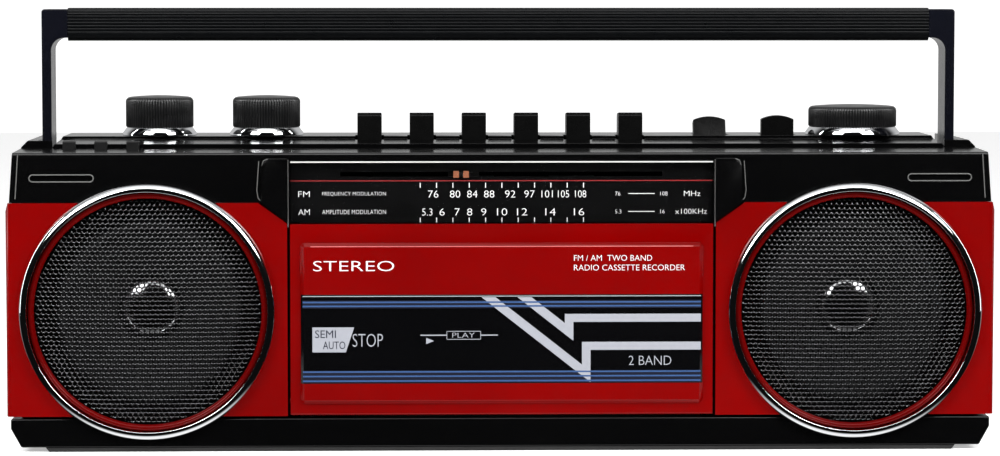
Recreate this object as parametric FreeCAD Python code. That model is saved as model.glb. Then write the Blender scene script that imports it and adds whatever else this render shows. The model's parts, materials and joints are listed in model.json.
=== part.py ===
import FreeCAD, Part
import os

# Portable stereo radio-cassette recorder, in millimetres.
# X runs along the length, Y from front (negative) to back, Z up.
# The origin is at the bottom centre of the whole object.

# ---- driving dimensions ----
WIDTH = 380.0            # over the red side panels
DEPTH = 96.0             # from the speaker rims to the back wall
RIM_PROUD = 4.0          # speaker rims stand out of the front by this
WALL = 2.4               # moulded wall
GAP = 0.3                # clearance between parts that move past each other
FIT = 0.06               # radial clearance of a shaft in its bore

RIM_FRONT = -DEPTH / 2
FRONT = RIM_FRONT + RIM_PROUD     # plane of the red panels
BACK = DEPTH / 2
SPLIT = -14.0                     # seam between the front and rear cabinets
REAR_START = SPLIT + 0.4
HALF = WIDTH / 2

# ---- heights ----
FOOT = 1.8
BASE_TOP = 12.8
RED_BOTTOM = 13.9
RED_TOP = 95.8
RIM_TOP = 115.0          # front edge of the top
STEP_TOP = 117.1         # front edge of the raised deck
DECK_TOP = 119.4
DECK_SEAT = 112.4
END_TOP = 118.4          # end blocks outside the handle arms
LEDGE_TOP = 109.0        # shelf for the aerial
SLOT_FLOOR = 95.5        # floor of the handle slots

# ---- half widths ----
BLACK_HALF = 187.4
TOP_HALF = 187.0
SHOULDER_HALF = 188.4
BASE_HALF = 188.5
DECK_HALF = 174.6
SLOT_IN = 174.9
SLOT_OUT = 180.6

# ---- speakers ----
SPEAKER_X = 135.8
SPEAKER_Z = 54.0
RIM_R = 49.3
RIM_BORE = 46.1
RIM_TUBE_R = 47.2
GRILLE_R = 43.4
CONE_R = 35.0
CAP_R = 12.0
MAGNET_R = 22.0
SEAT_Y = -39.7           # where rim and grille rest on the baffle
BAFFLE_BACK = -36.9

# ---- middle section ----
DOOR_HALF = 81.2
SEAM_HALF = 82.3         # inner edge of the red speaker panels
DOOR_TOP = 87.6
DIAL_BOTTOM = 87.9
DIAL_TOP = 111.9
RAISED_HALF = 77.3
RAISED_BOTTOM = 18.5
RAISED_TOP = 80.4
RAISED_FRONT = FRONT - 2.0
WINDOW_BOTTOM = 26.4
WINDOW_TOP = 60.6
HINGE_Y = -39.8
HINGE_Z = 19.2

# ---- cassette mechanism ----
CASSETTE_W = 101.6
CASSETTE_MID = -4.5
HUB_SPACING = 42.5
HUB_Z = 41.5
CHASSIS_Y = -24.2
CHASSIS_T = 1.6
CAPSTAN = (37.0, 67.5)
FLYWHEEL_R = 22.0
PINCH = (39.0, 77.0)
PINCH_R = 5.5
MOTOR = (-40.0, 70.0)
MOTOR_R = 12.0
PULLEY_R = 5.0

# ---- top controls ----
KNOB_Y = 16.0
KNOBS = {"volume": (-135.1, 13.45, 135.3), "tone": (-92.5, 13.45, 135.3), "tuning": (142.3, 17.6, 131.5)}
SKIRT_T = 3.1
KEY_NAMES = ("rec", "play", "rewind", "forward", "stop", "pause")
KEY_PITCH = 20.7
KEY_MIDDLE = 0.5
KEY_W = 9.6
KEY_FRONT = 2.0
KEY_BACK = 14.0
KEY_TOP = 128.7
KEY_ROD = (30.0, 111.0)
KEY_ROD_R = 1.5
LEVERS = {"function": (85.3, -20.0), "band": (112.2, 0.0)}
LEVER_W = 13.1
LEVER_PIVOT = (18.0, 108.0)
LEVER_TOP = 127.0
MEDIA_BUTTONS = {"play": -167.5, "back": -155.2, "skip": -142.8}
MEDIA_Y = -21.0
CARD_X = (-132.9, -100.5)
USB_X = (-88.9, -74.5)

# ---- handle ----
ARM_IN = 175.3
ARM_OUT = 179.0
ARM_R = 9.0
PIVOT_Y = -2.0
PIVOT_Z = 105.0
GRIP_HALF = 168.8
GRIP_BOTTOM = 157.3
GRIP_TOP = 170.2
PIVOT_PIN_R = 3.0

# ---- back ----
BAY_HALF = 55.0          # battery bay
BAY_BOTTOM = 10.0
BAY_TOP = 62.0
BAY_FRONT = 18.0
LID_T = 2.0
LID_MARGIN = 3.0
AERIAL_X = 160.0
AERIAL_Y = 43.5
AERIAL_Z = 114.0
AERIAL_R = 2.6
AERIAL_LENGTH = 170.0
SCREWS = ((160, 14), (-160, 14), (160, 84), (-160, 84), (70, 100), (-70, 100))
INLET = (-100.0, 30.0)
JACK = (20.0, 60.0)
TRANSFORMER_X = -131.0


# ---- helpers ----
def vec(x, y, z):
    return FreeCAD.Vector(x, y, z)


def box(x, y, z):
    """Block between the low and high value given for each axis."""
    corner = vec(min(x), min(y), min(z))
    return Part.makeBox(abs(x[1] - x[0]), abs(y[1] - y[0]), abs(z[1] - z[0]), corner)


def both(half):
    return (-half, half)


def cyl_x(y, z, r, x):
    return Part.makeCylinder(r, abs(x[1] - x[0]), vec(min(x), y, z), vec(1, 0, 0))


def cyl_y(x, z, r, y):
    return Part.makeCylinder(r, abs(y[1] - y[0]), vec(x, min(y), z), vec(0, 1, 0))


def cyl_z(x, y, r, z):
    return Part.makeCylinder(r, abs(z[1] - z[0]), vec(x, y, min(z)), vec(0, 0, 1))


def face_of(points):
    return Part.Face(Part.makePolygon(points + [points[0]]))


def prism_xz(points, y):
    """Extrude an outline drawn in X and Z along Y."""
    return face_of([vec(a, min(y), b) for a, b in points]).extrude(vec(0, abs(y[1] - y[0]), 0))


def prism_yz(points, x):
    """Extrude an outline drawn in Y and Z along X."""
    return face_of([vec(min(x), a, b) for a, b in points]).extrude(vec(abs(x[1] - x[0]), 0, 0))


def turned_y(points, x, z):
    """Turn an outline of (radius, y) about a line along Y."""
    outline = face_of([vec(x + r, y, z) for r, y in points])
    return outline.revolve(vec(x, 0, z), vec(0, 1, 0), 360)


def turned_z(points, x, y):
    """Turn an outline of (radius, z) about a line along Z."""
    outline = face_of([vec(x + r, y, z) for r, z in points])
    return outline.revolve(vec(x, y, 0), vec(0, 0, 1), 360)


def mirrored(shape):
    return shape.mirror(vec(0, 0, 0), vec(1, 0, 0))


def pair(shape):
    return [shape, mirrored(shape)]


def turned_about_x(shape, y, z, angle):
    moved = shape.copy()
    moved.rotate(vec(0, y, z), vec(1, 0, 0), angle)
    return moved


def edges_along(shape, axis, near=None):
    """Straight edges along one axis, only those whose middle passes the test near."""
    found = []
    for edge in shape.Edges:
        if len(edge.Vertexes) < 2:
            continue
        run = edge.Vertexes[1].Point.sub(edge.Vertexes[0].Point)
        straight = abs(run.dot(axis)) > 0.999 * edge.Length
        if straight and (near is None or near(edge.CenterOfMass)):
            found.append(edge)
    return found


def save(name, *shapes):
    """Write one node; several solids in one node stay separate."""
    shape = shapes[0] if len(shapes) == 1 else Part.makeCompound(list(shapes))
    shape.exportStep("parts/" + name + ".step")


# ---- cabinet ----
def pillar():
    """Raised block beside the dial, right-hand one."""
    inner = SEAM_HALF - 0.1
    outline = [(inner, DIAL_BOTTOM + 0.5), (92.0, RED_TOP), (92.0, 110.0), (89.4, 112.7), (inner, 112.7)]
    return prism_xz(outline, (FRONT - 1.2, -38.9))


def well_ring():
    """Walls around the space where the cassette door closes."""
    outer = box(both(DOOR_HALF + 3), (-41.3, -24.4), (5.0, 90.0))
    inner = box(both(DOOR_HALF + 1), (-42.0, -24.0), (9.4, 88.0))
    return outer.cut(inner)


def front_shell():
    lower = box(both(BLACK_HALF), (-41.3, SPLIT), (13.5, 96.0))
    outline = [(-SHOULDER_HALF, 96), (-TOP_HALF, 116), (TOP_HALF, 116), (SHOULDER_HALF, 96)]
    profile = [(FRONT, 95.9), (FRONT, RIM_TOP), (SPLIT, RIM_TOP + 0.5), (SPLIT, 95.9)]
    upper = prism_xz(outline, (FRONT, SPLIT)).common(prism_yz(profile, both(HALF)))
    top_edges = edges_along(upper, vec(1, 0, 0), lambda c: c.y < FRONT + 1 and c.z > 110)
    upper = upper.makeFillet(1.2, top_edges)
    cavity = box(both(BLACK_HALF - WALL), (-38.9, SPLIT + 1), (13.0, 112.6))
    return lower.fuse(upper).cut(cavity)


def top_openings():
    """Holes in the top rim for the media buttons, the card slot and the USB socket."""
    z = (110.0, 116.0)
    cuts = [box((x - 2.7, x + 2.7), (MEDIA_Y - 2.7, MEDIA_Y + 2.7), z) for x in MEDIA_BUTTONS.values()]
    cuts.append(box(CARD_X, (MEDIA_Y - 1.7, MEDIA_Y + 1.7), z))
    cuts.append(box(USB_X, (MEDIA_Y - 3.2, MEDIA_Y + 3.2), z))
    return cuts


def front_cabinet():
    shape = front_shell()
    dial_block = box(both(SEAM_HALF - 0.1), (FRONT, -36.5), (86.5, 112.8))
    boss = cyl_y(SPEAKER_X, SPEAKER_Z, RIM_R - 0.3, (-41.3, BAFFLE_BACK))
    shape = shape.fuse([dial_block, well_ring(), pillar(), mirrored(pillar())] + pair(boss))
    rim_hole = cyl_y(SPEAKER_X, SPEAKER_Z, RIM_TUBE_R + 0.1, (FRONT - 2, SEAT_Y))
    sound_hole = cyl_y(SPEAKER_X, SPEAKER_Z, CONE_R + 1, (FRONT - 2, BAFFLE_BACK + 1))
    groove = box((156.2, 180.5), (FRONT - 1, FRONT + 1.0), (104.2, 106.5))
    cuts = pair(rim_hole) + pair(sound_hole) + pair(groove)
    cuts.append(box(both(DOOR_HALF + 0.4), (FRONT - 1, -36), (9.4, 88.0)))
    cuts.append(box(both(DOOR_HALF + 0.1), (FRONT - 1, -39.0), (DIAL_BOTTOM, DIAL_TOP + 0.1)))
    cuts.append(box(both(DOOR_HALF - 2), (FRONT - 1, -36), (DIAL_BOTTOM + 1.6, DIAL_TOP - 1.6)))
    hinge_hole = cyl_x(HINGE_Y, HINGE_Z, 1.2 + FIT, (DOOR_HALF, DOOR_HALF + 4))
    cuts += pair(hinge_hole) + top_openings()
    return shape.cut(cuts)


def speaker_panel():
    """Red cover over the right-hand end, wrapping round the side."""
    side = HALF - 2.4
    rounded = 3.5
    outline = [
        (SEAM_HALF, RED_BOTTOM - 0.2), (HALF, RED_BOTTOM - 0.2), (HALF, RED_TOP - rounded),
        (HALF - 1.0, RED_TOP), (93.4, RED_TOP), (SEAM_HALF, DIAL_BOTTOM),
    ]
    block = prism_xz(outline, (FRONT, SPLIT))
    corner = edges_along(block, vec(0, 0, 1), lambda c: c.y < FRONT + 1 and c.x > HALF - 1)
    block = block.makeFillet(2.2, corner)
    behind = box((SEAM_HALF - 1, side), (-41.5, SPLIT + 1), (RED_BOTTOM - 1, RED_TOP + 1))
    hole = cyl_y(SPEAKER_X, SPEAKER_Z, RIM_TUBE_R + 0.1, (FRONT - 1, SPLIT))
    return block.cut([behind, hole])


def base_outline(half):
    return [(-half, BASE_TOP), (-half, 9), (-half + 4, FOOT), (half - 4, FOOT), (half, 9), (half, BASE_TOP)]


def base_strip():
    """Black tray that closes the front cabinet at the bottom."""
    block = prism_xz(base_outline(BASE_HALF), (FRONT, SPLIT))
    inside = box(both(BASE_HALF - 4.4), (FRONT + WALL, SPLIT + 1), (FOOT + WALL, BASE_TOP + 1))
    hole = cyl_y(SPEAKER_X, SPEAKER_Z, RIM_TUBE_R + 0.1, (FRONT - 1, SPLIT))
    boss_room = cyl_y(SPEAKER_X, SPEAKER_Z, RIM_R, (-41.4, BAFFLE_BACK + 1))
    return block.cut([inside] + pair(hole) + pair(boss_room))


def foot_bar(y):
    outline = [(-175.4, FOOT), (-174.0, 0), (174.0, 0), (175.4, FOOT)]
    return prism_xz(outline, y)


def rear_shell():
    low = TOP_HALF
    outline = [(-low, 9), (-low + 2.5, FOOT), (low - 2.5, FOOT), (low, 9), (low, END_TOP - 2.5),
               (low - 2.5, END_TOP), (-low + 2.5, END_TOP), (-low, END_TOP - 2.5)]
    block = prism_xz(outline, (REAR_START, BACK))
    corners = edges_along(block, vec(0, 0, 1), lambda c: c.y > BACK - 1)
    block = block.makeFillet(3.0, corners)
    inner = SLOT_IN - 2.5
    cuts = [
        box(both(SLOT_IN), (SPLIT, BACK + 1), (DECK_SEAT, END_TOP + 1)),
        box(both(SLOT_IN), (38.5, BACK + 1), (LEDGE_TOP, END_TOP + 1)),
        box(both(low - 2.6), (SPLIT, BACK - 2.6), (FOOT + 2.6, SLOT_FLOOR - 2.6)),
        box(both(inner), (SPLIT, BACK - 2.6), (SLOT_FLOOR - 3, LEDGE_TOP - WALL)),
        box(both(inner), (SPLIT, 36.1), (LEDGE_TOP - 3, DECK_SEAT + 1)),
    ]
    slot = box((SLOT_IN, SLOT_OUT), (PIVOT_Y - ARM_R - 0.6, BACK + 1), (SLOT_FLOOR, END_TOP + 1))
    return block.cut(cuts + pair(slot))


def battery_bay():
    """Block behind the back wall that the battery bay is hollowed from."""
    return box(both(BAY_HALF + 4.6), (BAY_FRONT - 2, BACK - 2), (BAY_BOTTOM - 3.6, BAY_TOP + 3.6))


def bay_openings():
    inside = box(both(BAY_HALF), (BAY_FRONT, BACK + 1), (BAY_BOTTOM, BAY_TOP))
    lid_half = BAY_HALF + LID_MARGIN
    seat = box(both(lid_half + GAP), (BACK - LID_T - 0.1, BACK + 1), (BAY_BOTTOM - 2.7, BAY_TOP + 2.3))
    pin = cyl_x(BACK - 1, BAY_BOTTOM - 1, 0.8 + FIT, both(lid_half + 1.3))
    return [inside, seat, pin]


def rear_cabinet():
    bosses = [cyl_y(x, z, 4.0, (28.0, BACK - 2)) for x, z in SCREWS]
    shape = rear_shell().fuse([battery_bay()] + bosses)
    holes = [cyl_y(x, z, 1.45, (27.0, BACK + 1)) for x, z in SCREWS]
    heads = [cyl_y(x, z, 3.5, (BACK - 1.8, BACK + 1)) for x, z in SCREWS]
    pins = cyl_x(PIVOT_Y, PIVOT_Z, PIVOT_PIN_R + FIT, (SLOT_IN - 4, SLOT_IN + 1))
    inlet = box((INLET[0] - 10.2, INLET[0] + 10.2), (BACK - 4, BACK + 1), (INLET[1] - 6.2, INLET[1] + 6.2))
    jack = cyl_x(JACK[0], JACK[1], 4.1, (TOP_HALF - 4, TOP_HALF + 1))
    spigot = cyl_z(AERIAL_X, AERIAL_Y, 2.5 + FIT, (LEDGE_TOP - 5, LEDGE_TOP + 1))
    return shape.cut(bay_openings() + holes + heads + pair(pins) + [inlet, jack, spigot])


def ear(x, y, z_low, pin_z, pin_r):
    """Flat ear hanging under the deck, with a hole for a pin along X."""
    plate = box((x - 0.8, x + 0.8), (y - 4, y + 4), (z_low, DECK_TOP - WALL + 0.1))
    return plate.cut(cyl_x(y, pin_z, pin_r, (x - 2, x + 2)))


def key_x(index):
    return KEY_MIDDLE + (index - (len(KEY_NAMES) - 1) / 2) * KEY_PITCH


def top_deck():
    """Raised plate that carries keys, levers and knobs."""
    ridge = 4.0
    outer = [(REAR_START, DECK_SEAT), (REAR_START, STEP_TOP), (ridge, DECK_TOP - 1.1), (ridge, DECK_TOP),
             (37.6, DECK_TOP), (38.4, DECK_TOP - 0.8), (38.4, DECK_SEAT)]
    inner = [(REAR_START + WALL, DECK_SEAT - 1), (REAR_START + WALL, STEP_TOP - WALL),
             (ridge + 0.6, DECK_TOP - 1.1 - WALL), (ridge + 0.6, DECK_TOP - WALL), (36.0, DECK_TOP - WALL),
             (36.0, DECK_SEAT - 1)]
    ends = [(-DECK_HALF, DECK_SEAT - 2), (-DECK_HALF, 116.0), (-DECK_HALF + 2.2, DECK_TOP + 0.1),
            (DECK_HALF - 2.2, DECK_TOP + 0.1), (DECK_HALF, 116.0), (DECK_HALF, DECK_SEAT - 2)]
    block = prism_yz(outer, both(DECK_HALF)).common(prism_xz(ends, (REAR_START - 1, BACK)))
    shape = block.cut(prism_yz(inner, both(DECK_HALF - WALL)))
    ears = [ear(x, KEY_ROD[0], 107.0, KEY_ROD[1], KEY_ROD_R)
            for x in (KEY_MIDDLE - 64.0, KEY_MIDDLE + 64.0)]
    for x, _ in LEVERS.values():
        ears += [ear(x + side * 8.2, LEVER_PIVOT[0], 104.0, LEVER_PIVOT[1], 1.3 + FIT) for side in (-1, 1)]
    return shape.fuse(ears).cut(deck_openings())


def deck_openings():
    z = (DECK_SEAT - 1, DECK_TOP + 1)
    cuts = []
    for index in range(len(KEY_NAMES)):
        x = key_x(index)
        cuts.append(box((x - KEY_W / 2 - 0.9, x + KEY_W / 2 + 0.9), (KEY_FRONT - 1.8, KEY_BACK + 0.8), z))
    for x, _ in LEVERS.values():
        y = LEVER_PIVOT[0]
        cuts.append(box((x - 7.0, x + 7.0), (y - 6.8, y + 6.8), (DECK_TOP - 3, DECK_TOP + 1)))
    for x, _, _ in KNOBS.values():
        cuts.append(cyl_z(x, KNOB_Y, 3.0 + FIT, z))
    return cuts


# ---- dial ----
def dial_scale_plate():
    plate = box(both(DOOR_HALF), (-40.0, -39.0), (DIAL_BOTTOM, DIAL_TOP))
    return plate.cut(box(both(62.0), (-41, -38), (105.6, 107.4)))


def dial_window():
    return box(both(DOOR_HALF), (FRONT, -42.0), (DIAL_BOTTOM, DIAL_TOP))


def dial_pointer():
    """Two small blocks in front of the scale on one carriage behind it."""
    centre = -14.6
    blocks = [box((centre + x - 1.1, centre + x + 1.1), (-41.6, -40.4), (104.8, 108.2)) for x in (-1.9, 1.9)]
    bridge = box((centre - 3.0, centre + 3.0), (-40.9, -40.4), (105.6, 107.4))
    stem = box((centre - 2.6, centre + 2.6), (-40.4, -38.0), (105.9, 107.1))
    carriage = box((centre - 6.0, centre + 6.0), (-38.0, -36.9), (104.0, 109.0))
    return blocks[0].fuse([blocks[1], bridge, stem, carriage])


# ---- speakers ----
def speaker_rim():
    outline = [
        (RIM_R, FRONT), (RIM_R, FRONT - 1.2), (RIM_R - 0.7, FRONT - 2.8), (RIM_R - 1.8, FRONT - 3.7),
        (RIM_BORE + 0.5, FRONT - RIM_PROUD), (RIM_BORE, FRONT - 3.6), (RIM_BORE, SEAT_Y),
        (RIM_TUBE_R, SEAT_Y), (RIM_TUBE_R, FRONT),
    ]
    return turned_y(outline, SPEAKER_X, SPEAKER_Z)


def speaker_ring():
    outline = [(44.0, -44.2), (44.6, -45.0), (45.6, -45.0), (46.0, -44.4), (46.0, -42.7), (44.0, -42.7)]
    return turned_y(outline, SPEAKER_X, SPEAKER_Z)


def dome_points(radius, edge_y, height, steps, reverse):
    """Points on a shallow dome that bulges towards the front."""
    points = []
    for i in range(steps + 1):
        part = i / steps
        points.append((radius * part, edge_y - height * (1 - part * part)))
    return points[::-1] if reverse else points


def grille():
    outer = dome_points(GRILLE_R, -42.6, 4.0, 8, False)
    inner = dome_points(GRILLE_R, -41.8, 4.0, 8, True)
    outline = outer + [(RIM_BORE - 0.1, -42.6), (RIM_BORE - 0.1, -41.8)] + inner
    return turned_y(outline, SPEAKER_X, SPEAKER_Z)


def basket():
    outline = [
        (CONE_R + 1.2, BAFFLE_BACK), (CONE_R + 3.5, BAFFLE_BACK), (CONE_R + 3.5, -35.7),
        (CONE_R + 2.4, -35.7), (MAGNET_R, -21.4), (MAGNET_R, -20.0),
        (4.0, -20.0), (4.0, -21.4), (15.5, -21.4), (CONE_R + 1.2, -35.7),
    ]
    return turned_y(outline, SPEAKER_X, SPEAKER_Z)


def cone():
    outline = [
        (CAP_R, -24.6), (CAP_R, -23.8), (CONE_R - 3, -35.2), (CONE_R - 1.4, -36.4),
        (CONE_R + 1, -36.0), (CONE_R + 1, -36.8), (CONE_R - 1.5, -37.3), (CONE_R - 3.4, -36.2),
    ]
    return turned_y(outline, SPEAKER_X, SPEAKER_Z)


def dust_cap():
    outer = dome_points(CAP_R, -24.7, 4.6, 6, False)
    inner = dome_points(CAP_R - 0.6, -24.7, 4.0, 6, True)
    return turned_y(outer + inner, SPEAKER_X, SPEAKER_Z)


def magnet():
    can = cyl_y(SPEAKER_X, SPEAKER_Z, MAGNET_R, (-20.0, -9.0))
    return can.makeChamfer(1.0, [edge for edge in can.Edges if edge.CenterOfMass.y > -10])


# ---- cassette door ----
def door_panel():
    plate = box(both(DOOR_HALF), (FRONT, FRONT + WALL), (RED_BOTTOM, DOOR_TOP))
    foot = edges_along(plate, vec(1, 0, 0), lambda c: c.z < RED_BOTTOM + 1)
    plate = plate.makeFillet(1.1, foot)
    raised = box(both(RAISED_HALF), (RAISED_FRONT, FRONT + 1), (RAISED_BOTTOM, RAISED_TOP))
    front_edges = [e for e in raised.Edges if e.CenterOfMass.y < RAISED_FRONT + 0.01]
    corners = edges_along(raised, vec(0, 1, 0))
    raised = raised.makeChamfer(1.4, front_edges + corners)
    lug = box((79.0, DOOR_HALF), (FRONT + WALL - 0.1, -38.0), (16.6, 21.8))
    pin = cyl_x(HINGE_Y, HINGE_Z, 1.2, (DOOR_HALF - 1, DOOR_HALF + 2.6))
    shape = plate.fuse([raised] + pair(lug) + pair(pin))
    seat = box(both(RAISED_HALF + 1), (RAISED_FRONT - 1, FRONT - 0.2), (WINDOW_BOTTOM, WINDOW_TOP))
    sight = (CASSETTE_MID - 44, CASSETTE_MID + 44)
    view = box(sight, (FRONT - 1, FRONT + 4), (WINDOW_BOTTOM + 2, WINDOW_TOP - 2))
    return shape.cut([seat, view])


def door_window():
    front = RAISED_FRONT - 0.1
    block = box(both(RAISED_HALF - 0.1), (front, FRONT - 0.2), (WINDOW_BOTTOM, WINDOW_TOP))
    sides = edges_along(block, vec(0, 0, 1), lambda c: c.y < front + 0.01)
    return block.makeChamfer(1.2, sides)


def cassette_holder():
    """Pocket on the back of the door: two side channels and a bottom shelf."""
    low = CASSETTE_MID - CASSETTE_W / 2
    high = CASSETTE_MID + CASSETTE_W / 2
    block = box((low - 2, high + 2), (-41.5, -27.5), (10.6, 66.0))
    pocket = box((low, high), (-40.3, -28.3), (12.0, 67.0))
    through = box((low + 5.5, high - 5.5), (-42.0, -27.0), (16.0, 67.0))
    hinge_room = box((low - 3, high + 3), (-42.0, -41.55), (10.0, 67.0))
    return block.cut([pocket, through, hinge_room])


# ---- cassette mechanism ----
def hub_x(side):
    return CASSETTE_MID + side * HUB_SPACING / 2


def motor_bracket():
    x, z = MOTOR
    plate = box((x - 14, x + 14), (-12.9, -11.5), (z - 14, z + 14))
    run = (CHASSIS_Y + CHASSIS_T - 0.1, -11.5)
    posts = [box((x + side * 14 - 1, x + side * 14 + 1), run, (z - 5, z + 5)) for side in (-1, 1)]
    return [plate] + posts


def tape_chassis():
    plate = box(both(78.0), (CHASSIS_Y, CHASSIS_Y + CHASSIS_T), (9.8, 89.6))
    pinch_pin = cyl_y(PINCH[0], PINCH[1], 1.2, (-38.0, CHASSIS_Y + 0.5))
    shape = plate.fuse(motor_bracket() + [pinch_pin])
    bores = [cyl_y(hub_x(side), HUB_Z, 1.5 + FIT, (-26, -20)) for side in (-1, 1)]
    bores.append(cyl_y(CAPSTAN[0], CAPSTAN[1], 1.0 + FIT, (-26, -20)))
    bores.append(cyl_y(MOTOR[0], MOTOR[1], 3.0, (-13.5, -11.0)))
    return shape.cut(bores)


def tape_heads():
    record = box((CASSETTE_MID - 6, CASSETTE_MID + 6), (-36.0, CHASSIS_Y), (78.0, 87.0))
    erase = box((CASSETTE_MID - 28, CASSETTE_MID - 20), (-36.0, CHASSIS_Y), (78.0, 86.0))
    return [record.makeFillet(1.5, edges_along(record, vec(0, 1, 0))), erase]


def spindle(side):
    x = hub_x(side)
    shaft = cyl_y(x, HUB_Z, 1.5, (-35.5, -20.0))
    hub = cyl_y(x, HUB_Z, 3.6, (-35.0, -26.8))
    table = cyl_y(x, HUB_Z, 9.0, (-27.0, -25.0))
    reel_gear = cyl_y(x, HUB_Z, 11.0, (-21.9, -20.0))
    splines = []
    for turn in range(3):
        rib = box((x - 0.6, x + 0.6), (-34.4, -26.8), (HUB_Z, HUB_Z + 4.6))
        rib.rotate(vec(x, 0, HUB_Z), vec(0, 1, 0), 120 * turn)
        splines.append(rib)
    return shaft.fuse([hub, table, reel_gear] + splines)


def belt_groove(x, z, radius):
    """Cutter for the belt groove of a wheel; its floor is 1 mm below the rim."""
    outline = [(radius + 1, -17.8), (radius - 1, -17.2), (radius - 1, -15.4), (radius + 1, -14.8)]
    return turned_y(outline, x, z)


def capstan_flywheel():
    x, z = CAPSTAN
    wheel = cyl_y(x, z, FLYWHEEL_R, (-19.0, -13.5))
    return wheel.cut(belt_groove(x, z, FLYWHEEL_R)).fuse(cyl_y(x, z, 1.0, (-38.0, -12.0)))


def pinch_roller():
    x, z = PINCH
    return cyl_y(x, z, PINCH_R, (-37.0, -29.0)).cut(cyl_y(x, z, 1.2 + FIT, (-40, -28)))


def motor_pulley():
    x, z = MOTOR
    wheel = cyl_y(x, z, PULLEY_R, (-18.6, -13.6))
    return wheel.cut(belt_groove(x, z, PULLEY_R)).fuse(cyl_y(x, z, 1.0, (-19.4, -8.0)))


def tape_motor():
    x, z = MOTOR
    can = cyl_y(x, z, MOTOR_R, (-11.5, 12.0))
    back = [e for e in can.Edges if len(e.Vertexes) == 1 and e.CenterOfMass.y > 0]
    return can.makeFillet(1.5, back).cut(cyl_y(x, z, 1.0 + FIT, (-12, -7.5)))


# ---- controls ----
def control_key(index):
    """Piano key: tall tab, arm and bearing on the rod."""
    x = key_x(index)
    rod_y, rod_z = KEY_ROD
    outline = [(KEY_FRONT, 109.0), (KEY_FRONT + 0.4, KEY_TOP - 1.2), (KEY_FRONT + 1.4, KEY_TOP),
               (KEY_BACK - 1.2, KEY_TOP - 0.6), (KEY_BACK, KEY_TOP - 2.2), (KEY_BACK, 113.2),
               (rod_y, 113.2), (rod_y, 109.0)]
    body = prism_yz(outline, (x - KEY_W / 2, x + KEY_W / 2))
    bearing = cyl_x(rod_y, rod_z, 3.2, (x - KEY_W / 2, x + KEY_W / 2))
    bore = cyl_x(rod_y, rod_z, KEY_ROD_R + FIT, (x - KEY_W, x + KEY_W))
    return body.fuse(bearing).cut(bore)


def knob(x, radius, top):
    base = DECK_TOP + 0.2 + SKIRT_T
    outline = [(0, base), (radius, base), (radius, top - 1.6), (radius - 0.9, top - 0.6),
               (radius * 0.5, top), (0, top)]
    return turned_z(outline, x, KNOB_Y).fuse(cyl_z(x, KNOB_Y, 3.0, (110.0, base + 1)))


def knob_skirt(x, radius):
    low = DECK_TOP + 0.2
    high = low + SKIRT_T
    outline = [(3.0, low), (radius + 1.2, low), (radius + 1.0, low + 1.0), (radius, high), (3.0, high)]
    return turned_z(outline, x, KNOB_Y)


def lever(x, tilt):
    """Paddle with an arched top, rocking on a pin under the deck."""
    y, z = LEVER_PIVOT
    half = LEVER_W / 2
    shoulder = LEVER_TOP - 1.5
    left, right = vec(x - half, y - 2, shoulder), vec(x + half, y - 2, shoulder)
    arch = Part.Arc(left, vec(x, y - 2, LEVER_TOP), right).toShape()
    rest = Part.makePolygon([right, vec(x + half, y - 2, z), vec(x - half, y - 2, z), left])
    paddle = Part.Face(Part.Wire([arch] + rest.Edges)).extrude(vec(0, 4, 0))
    hub = cyl_x(y, z, 3.0, (x - half, x + half))
    pin = cyl_x(y, z, 1.3, (x - 9.0, x + 9.0))
    return turned_about_x(paddle.fuse([hub, pin]), y, z, tilt)


def media_button(x):
    stem = box((x - 2.4, x + 2.4), (MEDIA_Y - 2.4, MEDIA_Y + 2.4), (112.8, 118.6))
    top = [e for e in stem.Edges if e.CenterOfMass.z > 118.5]
    flange = box((x - 3.4, x + 3.4), (MEDIA_Y - 3.4, MEDIA_Y + 3.4), (110.8, 112.4))
    neck = box((x - 1.8, x + 1.8), (MEDIA_Y - 1.8, MEDIA_Y + 1.8), (112.0, 113.0))
    return stem.makeFillet(0.5, top).fuse([flange, neck])


def media_sockets():
    """Card holder and USB socket under the top rim."""
    card = box((CARD_X[0] - 1.2, CARD_X[1] + 1.2), (MEDIA_Y - 2.9, MEDIA_Y + 2.9), (92.0, 112.5))
    card = card.cut(box((CARD_X[0] + 0.4, CARD_X[1] - 0.4), (MEDIA_Y - 1.4, MEDIA_Y + 1.4), (93.0, 113.0)))
    usb = box((USB_X[0] + 0.3, USB_X[1] - 0.3), (MEDIA_Y - 3.0, MEDIA_Y + 3.0), (96.0, 114.6))
    usb = usb.cut(box((USB_X[0] + 0.8, USB_X[1] - 0.8), (MEDIA_Y - 2.5, MEDIA_Y + 2.5), (97.0, 115.0)))
    tongue = box((USB_X[0] + 1.4, USB_X[1] - 1.4), (MEDIA_Y - 1.9, MEDIA_Y - 0.1), (96.5, 113.6))
    return [card, usb.fuse(tongue)]


# ---- handle ----
def handle_grip():
    y = (PIVOT_Y - ARM_R, PIVOT_Y + ARM_R)
    bar = box(both(GRIP_HALF), y, (GRIP_BOTTOM, GRIP_TOP))
    return bar.makeFillet(3.0, edges_along(bar, vec(1, 0, 0)))


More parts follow.
